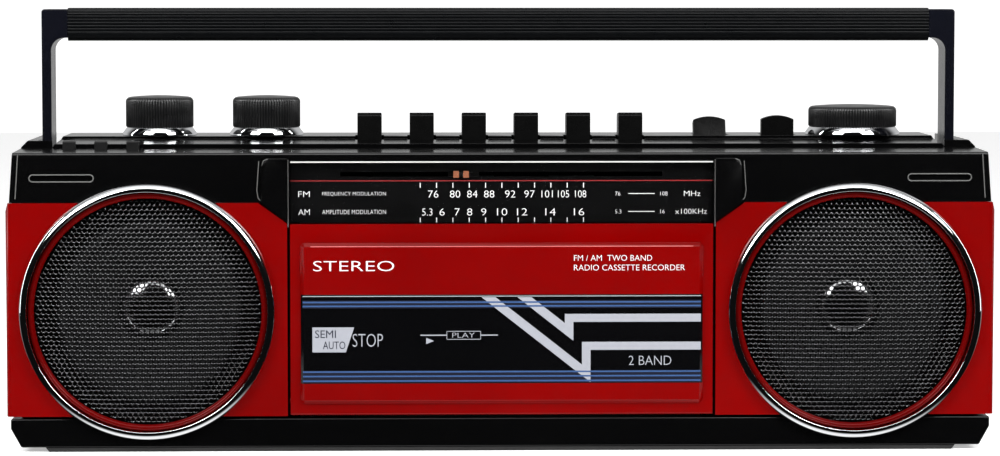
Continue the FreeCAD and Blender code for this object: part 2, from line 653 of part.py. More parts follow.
def handle_arm():
    """Chrome arm with an elbow at the top and its pivot pin."""
    y = (PIVOT_Y - ARM_R, PIVOT_Y + ARM_R)
    top = GRIP_TOP - 0.5
    under = GRIP_BOTTOM + 1.2
    outline = [
        (ARM_OUT, PIVOT_Z), (ARM_OUT, top), (GRIP_HALF, top), (GRIP_HALF, under),
        (ARM_IN, under), (ARM_IN, PIVOT_Z),
    ]
    bar = prism_xz(outline, y)
    corners = edges_along(bar, vec(0, 1, 0), lambda c: c.z > under - 0.1)
    bar = bar.makeFillet(5.0, [edge for edge in corners if abs(edge.CenterOfMass.x - ARM_IN) < 0.1])
    corners = edges_along(bar, vec(0, 1, 0), lambda c: c.z > top - 0.1)
    bar = bar.makeFillet(1.2, [edge for edge in corners if edge.CenterOfMass.x > ARM_IN])
    knuckle = cyl_x(PIVOT_Y, PIVOT_Z, ARM_R, (ARM_IN, ARM_OUT))
    pin = cyl_x(PIVOT_Y, PIVOT_Z, PIVOT_PIN_R, (SLOT_IN - 3.4, ARM_IN + 0.5))
    return bar.fuse([knuckle, pin])


# ---- back ----
def battery_door():
    half = BAY_HALF + LID_MARGIN
    low, high = BAY_BOTTOM - 2.0, BAY_TOP + 2.0
    plate = box(both(half), (BACK - LID_T, BACK), (low, high))
    plate = plate.makeFillet(0.9, edges_along(plate, vec(1, 0, 0), lambda c: c.z < low + 1))
    grips = [box(both(12.0), (BACK - 0.6, BACK + 1), (high - z, high - z + 1.2)) for z in (4.0, 7.0, 10.0)]
    pin = cyl_x(BACK - 1, low + 1, 0.8, both(half + 1.1))
    return plate.fuse(pin).cut(grips)


def battery_spring(x, z, out):
    """Contact plate with a tapered spring, pointing along X."""
    y = BAY_FRONT + 14
    plate = box((x, x + out * 0.5), (y - 9, y + 9), (z - 9, z + 9))
    cone_body = Part.makeCone(6.0, 3.0, 3.2, vec(x + out * 0.5, y, z), vec(out, 0, 0))
    return plate.fuse(cone_body)


def battery_springs():
    rows = (BAY_BOTTOM + 13, BAY_TOP - 13)
    return [battery_spring(-side * BAY_HALF, z, side) for side in (-1, 1) for z in rows]


def aerial_base():
    disc = cyl_z(AERIAL_X, AERIAL_Y, 4.0, (LEDGE_TOP + 0.1, 110.9))
    spigot = cyl_z(AERIAL_X, AERIAL_Y, 2.5, (LEDGE_TOP - 5, LEDGE_TOP + 0.5))
    ears = []
    for side in (-1, 1):
        y = AERIAL_Y + side * 2.9
        ears.append(box((AERIAL_X - 2.6, AERIAL_X + 2.6), (y - 0.7, y + 0.7), (110.5, AERIAL_Z + 2.4)))
    hole = cyl_y(AERIAL_X, AERIAL_Z, 1.2 + FIT, (AERIAL_Y - 6, AERIAL_Y + 6))
    return disc.fuse([spigot] + ears).cut(hole)


def aerial_tube():
    far = AERIAL_X - AERIAL_LENGTH
    tube = cyl_x(AERIAL_Y, AERIAL_Z, AERIAL_R, (far, AERIAL_X - 4.0))
    width = (AERIAL_Y - 1.9, AERIAL_Y + 1.9)
    knuckle = box((AERIAL_X - 4.5, AERIAL_X), width, (AERIAL_Z - 2.4, AERIAL_Z + 2.4))
    hub = cyl_y(AERIAL_X, AERIAL_Z, 2.4, width)
    pin = cyl_y(AERIAL_X, AERIAL_Z, 1.2, (AERIAL_Y - 3.6, AERIAL_Y + 3.6))
    bore = cyl_x(AERIAL_Y, AERIAL_Z, 1.8, (far - 1, AERIAL_X - 10))
    return tube.fuse([knuckle, hub, pin]).cut(bore)


def aerial_rod():
    far = AERIAL_X - AERIAL_LENGTH
    tip = cyl_x(AERIAL_Y, AERIAL_Z, AERIAL_R, (far - 5, far - 0.2))
    return cyl_x(AERIAL_Y, AERIAL_Z, 1.74, (far - 1, AERIAL_X - 12)).fuse(tip)


def main_board():
    """Circuit board under the deck with controls and cans soldered on."""
    top = 99.6
    pieces = [cyl_z(x, KNOB_Y, 7.5, (top - 0.2, 109.8)) for x, _, _ in KNOBS.values()]
    pieces += [cyl_z(x, 2.0, 4.0, (top - 0.2, 108.0)) for x in (-112.0, -72.0, 72.0)]
    pieces += [box((x, x + 18), (-4.0, 8.0), (top - 0.2, 103.4)) for x in (-50.0, -20.0, 20.0)]
    return box(both(160.0), (-8.0, 26.0), (98.0, top)).fuse(pieces)


def transformer():
    x = TRANSFORMER_X
    core = box((x - 21, x + 21), (12.0, 28.0), (6.0, 42.0))
    coil = box((x - 11, x + 11), (6.0, 34.0), (12.0, 36.0))
    return core.fuse(coil.makeFillet(3.0, edges_along(coil, vec(0, 0, 1))))


def ac_inlet():
    x, z = INLET
    body = box((x - 10.0, x + 10.0), (BACK - 16, BACK), (z - 6.0, z + 6.0))
    flange = box((x - 12.0, x + 12.0), (BACK - 5, BACK - 2.7), (z - 8.0, z + 8.0))
    pocket = box((x - 8.2, x + 8.2), (BACK - 12, BACK + 1), (z - 4.1, z + 4.1))
    pins = [cyl_y(x + side * 4.3, z, 1.15, (BACK - 13, BACK - 3)) for side in (-1, 1)]
    return body.fuse(flange).cut(pocket).fuse(pins)


def headphone_jack():
    y, z = JACK
    body = box((170.0, TOP_HALF - 2.7), (y - 7, y + 7), (z - 6, z + 6))
    bush = cyl_x(y, z, 4.0, (TOP_HALF - 3, TOP_HALF))
    return body.fuse(bush).cut(cyl_x(y, z, 1.8, (172.0, TOP_HALF + 1)))


def screw(x, z):
    head = cyl_y(x, z, 3.2, (BACK - 1.7, BACK - 0.1))
    shank = cyl_y(x, z, 1.4, (BACK - 16, BACK - 1.6))
    slot = [box((x - 2, x + 2), (BACK - 0.9, BACK), (z - 0.4, z + 0.4)),
            box((x - 0.4, x + 0.4), (BACK - 0.9, BACK), (z - 2, z + 2))]
    return head.fuse(shank).cut(slot)


def write_cabinet():
    save("front_cabinet", front_cabinet())
    save("rear_cabinet", rear_cabinet())
    save("right_speaker_panel", speaker_panel())
    save("left_speaker_panel", mirrored(speaker_panel()))
    save("base_strip", base_strip())
    save("foot_bars", foot_bar((FRONT + 0.6, FRONT + 11)), foot_bar((BACK - 14, BACK - 4)))
    save("top_deck", top_deck())
    save("dial_scale_plate", dial_scale_plate())
    save("dial_window", dial_window())
    save("dial_pointer", dial_pointer())


def write_speakers():
    save("speaker_rims", *pair(speaker_rim()))
    save("speaker_rings", *pair(speaker_ring()))
    save("right_grille", grille())
    save("left_grille", mirrored(grille()))
    save("speaker_baskets", *pair(basket()))
    save("speaker_magnets", *pair(magnet()))
    save("speaker_cones", *pair(cone()))
    save("dust_caps", *pair(dust_cap()))


def write_cassette():
    save("door_panel", door_panel())
    save("door_window", door_window())
    save("cassette_holder", cassette_holder())
    save("tape_chassis", tape_chassis())
    save("tape_heads", *tape_heads())
    save("supply_spindle", spindle(-1))
    save("takeup_spindle", spindle(1))
    save("capstan_flywheel", capstan_flywheel())
    save("pinch_roller", pinch_roller())
    save("tape_motor", tape_motor())
    save("motor_pulley", motor_pulley())


def write_controls():
    rod_span = (KEY_MIDDLE - 66.0, KEY_MIDDLE + 66.0)
    save("key_rod", cyl_x(KEY_ROD[0], KEY_ROD[1], KEY_ROD_R, rod_span))
    for index, name in enumerate(KEY_NAMES):
        save(name + "_key", control_key(index))
    for name, (x, radius, top) in KNOBS.items():
        save(name + "_knob", knob(x, radius, top))
        save(name + "_skirt", knob_skirt(x, radius))
    for name, (x, tilt) in LEVERS.items():
        save(name + "_lever", lever(x, tilt))
    for name, x in MEDIA_BUTTONS.items():
        save("media_" + name + "_button", media_button(x))
    save("media_sockets", *media_sockets())


def write_handle_and_back():
    save("handle_grip", handle_grip())
    save("handle_arms", *pair(handle_arm()))
    save("battery_door", battery_door())
    save("battery_springs", *battery_springs())
    save("aerial_base", aerial_base())
    save("aerial_tube", aerial_tube())
    save("aerial_rod", aerial_rod())
    save("main_board", main_board())
    save("transformer", transformer())
    save("ac_inlet", ac_inlet())
    save("headphone_jack", headphone_jack())
    save("screws", *[screw(x, z) for x, z in SCREWS])


os.makedirs("parts", exist_ok=True)
write_cabinet()
write_speakers()
write_cassette()
write_controls()
write_handle_and_back()
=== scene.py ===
import json
import math

import bmesh
import bpy
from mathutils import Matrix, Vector


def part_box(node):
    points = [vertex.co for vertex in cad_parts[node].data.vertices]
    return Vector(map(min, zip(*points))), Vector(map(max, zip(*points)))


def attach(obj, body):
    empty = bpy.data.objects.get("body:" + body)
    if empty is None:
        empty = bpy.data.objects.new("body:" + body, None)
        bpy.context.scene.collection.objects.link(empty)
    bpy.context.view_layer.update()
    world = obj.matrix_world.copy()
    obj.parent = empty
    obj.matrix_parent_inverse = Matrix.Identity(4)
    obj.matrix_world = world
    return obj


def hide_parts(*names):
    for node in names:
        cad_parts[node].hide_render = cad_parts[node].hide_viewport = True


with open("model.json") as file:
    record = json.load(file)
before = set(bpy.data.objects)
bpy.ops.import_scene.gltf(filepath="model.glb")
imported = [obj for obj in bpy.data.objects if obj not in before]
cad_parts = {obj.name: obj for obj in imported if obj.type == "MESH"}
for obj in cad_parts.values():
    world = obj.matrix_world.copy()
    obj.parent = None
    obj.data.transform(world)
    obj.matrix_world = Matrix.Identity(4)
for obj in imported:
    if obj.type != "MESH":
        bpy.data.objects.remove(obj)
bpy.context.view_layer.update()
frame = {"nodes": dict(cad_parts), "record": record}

# Portable stereo radio-cassette recorder: the looks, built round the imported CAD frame.
# Metres, in the CAD frame: X along the length, Y from front to back, Z up.

MM = 0.001
NODES = frame["nodes"]
BODY_OF = {}
for body_name, members in frame["record"]["behaviour"]["bodies"].items():
    for member in members:
        BODY_OF[member] = body_name
PART_OF = {part["node"]: part for part in frame["record"]["subparts"]}


# ---- places worked out from the frame ----
def centre_of(node):
    low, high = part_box(node)
    return (low + high) / 2


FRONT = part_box("right_speaker_panel")[0].y      # plane of the red and black front
GRILLE_LOW, GRILLE_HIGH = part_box("right_grille")
RIM_LOW, RIM_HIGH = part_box("speaker_rims")
RING_LOW, RING_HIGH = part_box("speaker_rings")
CAP_LOW, CAP_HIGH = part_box("dust_caps")
SPEAKER_X = centre_of("right_grille").x
SPEAKER_Z = centre_of("right_grille").z
DOOR_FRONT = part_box("door_panel")[0].y
WINDOW_LOW, WINDOW_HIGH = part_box("door_window")
SCALE_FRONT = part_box("dial_scale_plate")[0].y
DIAL_LOW, DIAL_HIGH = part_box("dial_window")
GRIP_LOW, GRIP_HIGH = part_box("handle_grip")


# ---- node materials ----
def new_material(name, color, roughness, metallic=0.0):
    """Principled material with its uniform values on the shader's own sockets."""
    material = bpy.data.materials.new(name)
    material.use_nodes = True
    shader = material.node_tree.nodes["Principled BSDF"]
    shader.inputs["Base Color"].default_value = (*color, 1.0)
    shader.inputs["Roughness"].default_value = roughness
    shader.inputs["Metallic"].default_value = metallic
    return material, material.node_tree, shader


def add_node(tree, kind, **inputs):
    node = tree.nodes.new(kind)
    for key, value in inputs.items():
        node.inputs[key.replace("_", " ")].default_value = value
    return node


def object_space(tree):
    return tree.nodes.new("ShaderNodeTexCoord").outputs["Object"]


def noise(tree, scale, detail=2.0, rough=0.5, stretch=None):
    """Noise texture in object space, its scale in features per metre."""
    source = object_space(tree)
    if stretch:
        mapping = tree.nodes.new("ShaderNodeMapping")
        mapping.inputs["Scale"].default_value = stretch
        tree.links.new(source, mapping.inputs["Vector"])
        source = mapping.outputs["Vector"]
    texture = add_node(tree, "ShaderNodeTexNoise", Scale=scale, Detail=detail, Roughness=rough)
    tree.links.new(source, texture.inputs["Vector"])
    return texture.outputs["Fac"]


def spread(tree, value, low, high, start=0.3, stop=0.7):
    """Maps a texture value from start..stop to low..high."""
    ranged = tree.nodes.new("ShaderNodeMapRange")
    ranged.inputs["From Min"].default_value = start
    ranged.inputs["From Max"].default_value = stop
    ranged.inputs["To Min"].default_value = low
    ranged.inputs["To Max"].default_value = high
    tree.links.new(value, ranged.inputs["Value"])
    return ranged.outputs["Result"]


def tint(tree, shader, value, dark, light):
    """Drives the base colour between two tones."""
    mix = tree.nodes.new("ShaderNodeMix")
    mix.data_type = "RGBA"
    mix.inputs["A"].default_value = (*dark, 1.0)
    mix.inputs["B"].default_value = (*light, 1.0)
    tree.links.new(value, mix.inputs["Factor"])
    tree.links.new(mix.outputs["Result"], shader.inputs["Base Color"])


def bump(tree, shader, value, height, strength=1.0):
    node = add_node(tree, "ShaderNodeBump", Strength=strength, Distance=height)
    tree.links.new(value, node.inputs["Height"])
    tree.links.new(node.outputs["Normal"], shader.inputs["Normal"])


def moulded(name, color, rough, grain=2600.0, height=0.00003, vary=0.06, gloss=0.5):
    """Moulded plastic: slight tone drift, uneven gloss and a fine grain."""
    material, tree, shader = new_material(name, color, rough)
    shader.inputs["Specular IOR Level"].default_value = gloss
    drift = spread(tree, noise(tree, 14.0, 4.0), 0.0, 1.0)
    tint(tree, shader, drift, [c * 0.85 for c in color], [min(1.0, c * 1.12) for c in color])
    uneven = spread(tree, noise(tree, 220.0, 6.0, 0.65), max(0.02, rough - vary), rough + vary)
    tree.links.new(uneven, shader.inputs["Roughness"])
    bump(tree, shader, noise(tree, grain, 3.0), height)
    return material


def metal(name, color, rough, stretch=None, scale=700.0, height=0.000004, vary=0.04):
    """Plated or turned metal with faint polishing marks and smears."""
    material, tree, shader = new_material(name, color, rough, 1.0)
    smear = spread(tree, noise(tree, 60.0, 5.0, 0.6), max(0.01, rough - vary), rough + vary)
    tree.links.new(smear, shader.inputs["Roughness"])
    tint(tree, shader, noise(tree, 25.0, 3.0), [c * 0.93 for c in color], color)
    bump(tree, shader, noise(tree, scale, 3.0, 0.5, stretch), height)
    return material


def clear_plastic(name, color, rough, transmission, alpha):
    """Clear or smoked sheet with the faint haze of handling."""
    material, tree, shader = new_material(name, color, rough)
    shader.inputs["Transmission Weight"].default_value = transmission
    shader.inputs["IOR"].default_value = 1.49
    shader.inputs["Alpha"].default_value = alpha
    haze = spread(tree, noise(tree, 40.0, 6.0, 0.7), rough * 0.5, rough * 2.0)
    tree.links.new(haze, shader.inputs["Roughness"])
    return material


def ribbed_rubber(name, color):
    material, tree, shader = new_material(name, color, 0.75)
    tint(tree, shader, noise(tree, 120.0, 5.0), [c * 0.7 for c in color], [c * 1.4 for c in color])
    bump(tree, shader, noise(tree, 3200.0, 2.0), 0.00008)
    return material


def paper_pulp(name, color):
    """Pressed pulp of a loudspeaker cone."""
    material, tree, shader = new_material(name, color, 0.9)
    tint(tree, shader, noise(tree, 900.0, 8.0, 0.7), [c * 0.6 for c in color], [c * 1.5 for c in color])
    bump(tree, shader, noise(tree, 1500.0, 6.0, 0.6), 0.00015)
    return material


def circuit_board(name, color):
    """Solder mask over copper tracks."""
    material, tree, shader = new_material(name, color, 0.35)
    bricks = add_node(tree, "ShaderNodeTexBrick", Scale=90.0)
    tree.links.new(object_space(tree), bricks.inputs["Vector"])
    tint(tree, shader, bricks.outputs["Fac"], [c * 0.6 for c in color], [c * 1.7 for c in color])
    bump(tree, shader, bricks.outputs["Fac"], 0.00005)
    return material


def print_ink(name, color):
    """Screen-printed ink, a little uneven."""
    material, tree, shader = new_material(name, color, 0.45)
    tint(tree, shader, noise(tree, 500.0, 4.0), [c * 0.88 for c in color], color)
    return material


RED = moulded("red_gloss", (0.146, 0.0, 0.0), 0.14, 5200.0, 0.000002, 0.03, 0.3)
BLACK_BODY = moulded("black_body", (0.0011, 0.0011, 0.0012), 0.19, 5200.0, 0.000002, 0.03, 0.42)
BLACK_GLOSS = moulded("black_gloss", (0.0011, 0.0011, 0.0012), 0.16, 5200.0, 0.000002, 0.03, 0.42)
BLACK_MATT = moulded("black_matt", (0.004, 0.004, 0.0042), 0.42, 6000.0, 0.00001, 0.06, 0.3)
KNOB_BLACK = moulded("knob_black", (0.004, 0.004, 0.0043), 0.32, 6000.0, 0.00001)
KEY_BLACK = moulded("key_black", (0.003, 0.003, 0.003), 0.28, 6000.0, 0.00001, 0.05, 0.12)
GRIP_BLACK = moulded("grip_black", (0.0015, 0.0018, 0.0022), 0.32, 6000.0, 0.00001, 0.06, 0.2)
ARM_BLACK = moulded("arm_black", (0.0025, 0.0028, 0.0055), 0.2, 6000.0, 0.00001, 0.03)
# Painted highlight: light grey for ridges standing in for the shine on rounded front edges, grooves and
# pillars.
PAINTED_EDGE_HIGHLIGHT = moulded("painted_edge_highlight", (0.10, 0.10, 0.097), 0.16, 5200.0, 0.000002, 0.03)
# Painted highlight: near white for the ridge along the top lip of the dial opening.
PAINTED_LIP_HIGHLIGHT = moulded("painted_lip_highlight", (0.55, 0.55, 0.54), 0.16, 5200.0, 0.000002, 0.03)
# Painted highlight: pink for the ridge along the top edge of the door's raised panel.
PAINTED_DOOR_HIGHLIGHT = moulded("painted_door_highlight", (0.55, 0.11, 0.11), 0.16, 5200.0, 0.000002, 0.03)
DARK_RED = moulded("dark_red", (0.085, 0.0002, 0.0002), 0.2, 5200.0, 0.000003, 0.03, 0.1)
CHROME = metal("chrome", (0.86, 0.87, 0.89), 0.06, None, 900.0, 0.0000006, 0.02)
MESH_BLACK = metal("mesh_black", (0.10, 0.10, 0.103), 0.13, None, 900.0, 0.000001, 0.03)
RUBBER = ribbed_rubber("rubber_black", (0.012, 0.012, 0.012))
SMOKED = moulded("smoked_window", (0.0016, 0.0016, 0.0019), 0.12, 4200.0, 0.000001, 0.03)
CLEAR = clear_plastic("clear_window", (0.97, 0.98, 1.0), 0.03, 1.0, 0.05)
DIAL_BLACK = moulded("dial_black", (0.0014, 0.0014, 0.0015), 0.35, 5200.0, 0.000003, 0.06, 0.15)
ORANGE = moulded("orange_pointer", (0.24, 0.075, 0.03), 0.4, 5200.0, 0.000003)
CAP_GLOSS = metal("cap_gloss", (0.42, 0.42, 0.43), 0.1, None, 900.0, 0.000001, 0.03)
PULP = paper_pulp("cone_paper", (0.006, 0.006, 0.007))
FERRITE = paper_pulp("magnet_ferrite", (0.05, 0.05, 0.052))
STEEL = metal("steel_plate", (0.62, 0.62, 0.64), 0.32, (1, 1, 12), 900.0, 0.00001)
DARK_STEEL = metal("steel_dark", (0.38, 0.38, 0.40), 0.28, (12, 1, 1), 1200.0, 0.00001)
BOARD = circuit_board("board_green", (0.02, 0.11, 0.04))
NYLON = moulded("white_plastic", (0.75, 0.75, 0.72), 0.42)
BRASS = metal("brass_parts", (0.75, 0.56, 0.25), 0.25, (1, 12, 1), 1200.0, 0.00001)
WHITE_INK = print_ink("white_ink", (0.29, 0.30, 0.335))
DIAL_INK = print_ink("dial_ink", (0.70, 0.70, 0.70))
GREY_INK = print_ink("grey_ink", (0.30, 0.31, 0.33))
RED_INK = print_ink("red_ink", (0.22, 0.004, 0.005))
BLUE_INK = print_ink("blue_ink", (0.022, 0.070, 0.20))
NAVY_INK = print_ink("navy_ink", (0.002, 0.004, 0.020))

SLOT_MATERIAL = {
    "black_body": BLACK_BODY, "black_gloss": BLACK_GLOSS, "black_matte": BLACK_MATT, "red_gloss": RED,
    "dark_red": DARK_RED, "chrome": CHROME, "grille_mesh": MESH_BLACK, "rubber_black": RUBBER,
    "smoked_window": SMOKED, "clear_window": CLEAR, "dial_print": DIAL_BLACK, "orange_pointer": ORANGE,
    "cone_paper": PULP, "magnet_ferrite": FERRITE, "steel_plate": STEEL, "steel_dark": DARK_STEEL,
    "board_green": BOARD, "white_plastic": NYLON, "brass_parts": BRASS,
}


def paint_cad_nodes():
    """Gives every carried-over CAD node its procedural material."""
    for part in frame["record"]["subparts"]:
        obj = NODES[part["node"]]
        obj.data.materials.clear()
        obj.data.materials.append(SLOT_MATERIAL[part["material_slot"]])


LOOKS = {
    "handle_arms": ARM_BLACK,
    **{key + "_key": KEY_BLACK for key in ("rec", "play", "rewind", "forward", "stop", "pause")},
    "function_lever": KEY_BLACK, "band_lever": KEY_BLACK,
}


# ---- making pieces ----
def finish_piece(obj, body, material, replaced=()):
    """Links a piece, gives it its finish and lets it move with its body."""
    if obj.name not in bpy.context.scene.collection.objects:
        bpy.context.scene.collection.objects.link(obj)
    obj.data.materials.clear()
    obj.data.materials.append(material)
    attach(obj, body)
    if replaced:
        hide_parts(*replaced)
    return obj


def from_bmesh(name, bm, smooth=True, sharp=40.0):
    """Object from a bmesh, smooth except across edges sharper than the given angle."""
    mesh = bpy.data.meshes.new(name)
    bm.to_mesh(mesh)
    bm.free()
    if smooth:
        mesh.shade_smooth()
        mesh.set_sharp_from_angle(angle=math.radians(sharp))
    return bpy.data.objects.new(name, mesh)


def round_edges(obj, width, segments):
    bevel = obj.modifiers.new("round_edges", "BEVEL")
    bevel.width = width
    bevel.segments = segments
    bevel.limit_method = "ANGLE"
    bevel.angle_limit = math.radians(35.0)
    bevel.harden_normals = True


def softened(node, width, segments=3):
    """Copy of a CAD node with its edges rounded, standing for that node."""
    bm = bmesh.new()
    bm.from_mesh(NODES[node].data)
    bmesh.ops.remove_doubles(bm, verts=bm.verts, dist=0.002 * MM)
    bmesh.ops.dissolve_limit(bm, angle_limit=math.radians(0.6), verts=bm.verts, edges=bm.edges)
    bmesh.ops.recalc_face_normals(bm, faces=bm.faces)
    obj = from_bmesh(node + "_soft", bm, sharp=35.0)
    round_edges(obj, width, segments)
    slot = PART_OF[node]["material_slot"]
    return finish_piece(obj, BODY_OF[node], LOOKS.get(node, SLOT_MATERIAL[slot]), (node,))


def add_lathe(bm, profile, centre, axis, steps=128, flutes=0):
    """Turns (radius, height, flute depth) points about the Y or Z axis through centre."""
    rings = []
    for radius, height, depth in profile:
        ring = []
        for k in range(steps):
            angle = 2 * math.pi * k / steps
            r = radius - depth * (1 - abs(math.sin(flutes * angle / 2)))
            across, along = r * math.cos(angle), r * math.sin(angle)
            step = (across, height, along) if axis == "Y" else (across, along, height)
            ring.append(bm.verts.new([c + d for c, d in zip(centre, step)]))
        rings.append(ring)
    for low, high in zip(rings, rings[1:]):
        for k in range(steps):
            after = (k + 1) % steps
            bm.faces.new((low[k], low[after], high[after], high[k]))


def close_lathe(bm):
    bmesh.ops.remove_doubles(bm, verts=bm.verts, dist=0.001 * MM)
    bmesh.ops.recalc_face_normals(bm, faces=bm.faces)


def arc(centre, radii, start, stop, steps):
    """Points of an elliptic arc, as (across, along) pairs; angles in degrees."""
    points = []
    for i in range(steps + 1):
        angle = math.radians(start + (stop - start) * i / steps)
        points.append((centre[0] + radii[0] * math.cos(angle), centre[1] + radii[1] * math.sin(angle)))
    return points


# ---- speakers ----
def rims():
    """Chrome ring: a sloping convex band, a narrow lip and a straight bore."""
    outer = (RIM_HIGH.z - RIM_LOW.z) / 2
    bore = outer - 3.2 * MM
    crest = -(FRONT - RIM_LOW.y)
    band = arc((outer - 2.7 * MM, -0.9 * MM), (2.7 * MM, crest + 0.9 * MM), 0, 82, 10)
    lip = arc((bore + 0.25 * MM, crest + 0.3 * MM), (0.25 * MM, -0.3 * MM), 90, 180, 4)
    profile = [(r, y, 0) for r, y in [(outer, 0.0)] + band + lip + [(bore, 3.9 * MM)]]
    bm = bmesh.new()
    for side in (-1, 1):
        add_lathe(bm, profile, (side * SPEAKER_X, FRONT, SPEAKER_Z), "Y", 192)
    close_lathe(bm)
    finish_piece(from_bmesh("rim_bands", bm), "cabinet", CHROME, ("speaker_rims",))


def dark_rings():
    outer = (RING_HIGH.z - RING_LOW.z) / 2
    depth = RING_HIGH.y - RING_LOW.y
    half = 1.25 * MM
    base = depth * 0.8
    crown = arc((outer - half, 0.0), (half, -base), 0, 180, 14)
    profile = [(r, y, 0) for r, y in crown]
    bm = bmesh.new()
    for side in (-1, 1):
        add_lathe(bm, profile, (side * SPEAKER_X, RING_LOW.y + base, SPEAKER_Z), "Y", 160)
    close_lathe(bm)
    finish_piece(from_bmesh("trim_rings", bm), "cabinet", DARK_RED, ("speaker_rings",))


GRILLE_PITCH = 2.0 * MM
DOME_R = 43.4 * MM
DOME_EDGE_Y = GRILLE_LOW.y + 4.0 * MM
# Rings of one cell from the middle of a bar to its back: (distance from the hole's centre, depth).
BAR_RINGS = (
    (None, 0.0), (0.93 * MM, 0.06 * MM), (0.82 * MM, 0.18 * MM),
    (0.76 * MM, 0.36 * MM), (0.76 * MM, 0.6 * MM),
)


def dome_y(r):
    """Front of the grille dome at a distance from its centre."""
    return GRILLE_LOW.y + (DOME_EDGE_Y - GRILLE_LOW.y) * (r / DOME_R) ** 2


def add_hex_cell(bm, x, z, cx, cz):
    """One hexagon of sheet round a hole, its bars rounded towards the hole."""
    rings = []
    for radius, sink in BAR_RINGS:
        ring = []
        for k in range(12):
            angle = math.radians(30 * k)
            reach = radius or GRILLE_PITCH / (2 if k % 2 == 0 else math.sqrt(3))
            px, pz = x + reach * math.cos(angle), z + reach * math.sin(angle)
            ring.append(bm.verts.new((cx + px, dome_y(math.hypot(px, pz)) + sink, cz + pz)))
        rings.append(ring)
    for outer, inner in zip(rings, rings[1:]):
        for k in range(12):
            after = (k + 1) % 12
            bm.faces.new((outer[k], outer[after], inner[after], inner[k]))


def grille(side, node):
    """Domed sheet with a staggered pattern of round holes up to its edge."""
    bm = bmesh.new()
    reach = DOME_R - 0.4 * MM
    row_step = GRILLE_PITCH * math.sqrt(3) / 2
    rows = int(reach / row_step)
    columns = int(reach / GRILLE_PITCH) + 1
    for row in range(-rows, rows + 1):
        for column in range(-columns, columns + 1):
            x, z = (column + 0.5 * (row % 2)) * GRILLE_PITCH, row * row_step
            if math.hypot(x, z) < reach:
                add_hex_cell(bm, x, z, side * SPEAKER_X, SPEAKER_Z)
    bmesh.ops.remove_doubles(bm, verts=bm.verts, dist=0.01 * MM)
    bmesh.ops.recalc_face_normals(bm, faces=bm.faces)
    finish_piece(from_bmesh(node + "_sheet", bm, sharp=70), "cabinet", MESH_BLACK, (node,))
    rim = bmesh.new()
    inner = DOME_R - 1.0 * MM
    flange = (GRILLE_HIGH.x - GRILLE_LOW.x) / 2
    profile = [(inner, dome_y(inner) + 0.2 * MM, 0), (DOME_R, DOME_EDGE_Y, 0), (flange, DOME_EDGE_Y, 0),
               (flange, GRILLE_HIGH.y, 0), (DOME_R, GRILLE_HIGH.y, 0), (inner, dome_y(inner) + 0.7 * MM, 0),
               (inner, dome_y(inner) + 0.2 * MM, 0)]
    add_lathe(rim, profile, (side * SPEAKER_X, 0, SPEAKER_Z), "Y", 160)
    close_lathe(rim)
    finish_piece(from_bmesh(node + "_border", rim), "cabinet", MESH_BLACK)


def dust_caps():
    radius = (CAP_HIGH.z - CAP_LOW.z) / 2
    height = CAP_HIGH.y - CAP_LOW.y
    profile = [(r, y, 0) for r, y in arc((0, 0), (radius, -height), 0, 90, 16)]
    bm = bmesh.new()
    for side in (-1, 1):
        add_lathe(bm, profile, (side * SPEAKER_X, CAP_HIGH.y, SPEAKER_Z), "Y", 96)
    close_lathe(bm)
    finish_piece(from_bmesh("cap_domes", bm), "cabinet", CAP_GLOSS, ("dust_caps",))


def cones():
    """Paper cones with a rolled surround at the edge."""
    low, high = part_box("speaker_cones")
    edge = (high.z - low.z) / 2
    neck = 11.9 * MM
    slope = [(neck + (edge - 5 * MM - neck) * i / 12, high.y - 0.2 * MM - 11.6 * MM * (i / 12) ** 0.8, 0)
             for i in range(13)]
    base = low.y + 0.9 * MM
    roll = [(r, y, 0) for r, y in arc((edge - 2.9 * MM, base), (2.1 * MM, -0.9 * MM), 180, 0, 10)]
    bm = bmesh.new()
    for side in (-1, 1):
        add_lathe(bm, slope + roll + [(edge, base, 0)], (side * SPEAKER_X, 0, SPEAKER_Z), "Y", 96)
    close_lathe(bm)
    obj = from_bmesh("cone_sheets", bm)
    solid = obj.modifiers.new("paper", "SOLIDIFY")
    solid.thickness = 0.4 * MM
    solid.offset = 0.0
    finish_piece(obj, "cabinet", PULP, ("speaker_cones",))


# ---- controls ----
def knobs():
    """Fluted knobs with a slightly domed top on conical chrome skirts."""
    for name, body in (("volume", "volume"), ("tone", "tone"), ("tuning", "tuning")):
        low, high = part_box(name + "_knob")
        skirt_low, skirt_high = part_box(name + "_skirt")
        middle = (low + high) / 2
        radius = (high.x - low.x) / 2
        base = skirt_high.z
        top = high.z
        cut = 0.45 * MM
        profile = [(0.0, base, 0), (radius - 0.4 * MM, base, 0), (radius, base + 0.4 * MM, cut),
                   (radius, top - 2.2 * MM, cut), (radius - 0.35 * MM, top - 1.4 * MM, cut * 0.7),
                   (radius - 1.1 * MM, top - 0.8 * MM, 0)]
        profile += [(radius * part, top - 0.8 * MM * part ** 2, 0) for part in (0.85, 0.6, 0.3, 0.0)]
        count = int(2 * math.pi * radius / (1.15 * MM))
        bm = bmesh.new()
        add_lathe(bm, profile, (middle.x, middle.y, 0), "Z", count * 8, count)
        close_lathe(bm)
        cap = from_bmesh(name + "_cap", bm, sharp=50)
        finish_piece(cap, body, KNOB_BLACK, (name + "_knob",))
        flare = (skirt_high.x - skirt_low.x) / 2
        shape = [(0.0, 0.0), (flare, 0.0), (flare, 0.9 * MM)]
        shape += [(radius - 0.5 * MM, skirt_high.z - skirt_low.z), (0.0, skirt_high.z - skirt_low.z)]
        bm = bmesh.new()
        add_lathe(bm, [(r, h, 0) for r, h in shape], (middle.x, middle.y, skirt_low.z), "Z", 160)
        close_lathe(bm)
        finish_piece(from_bmesh(name + "_flare", bm), body, CHROME, (name + "_skirt",))


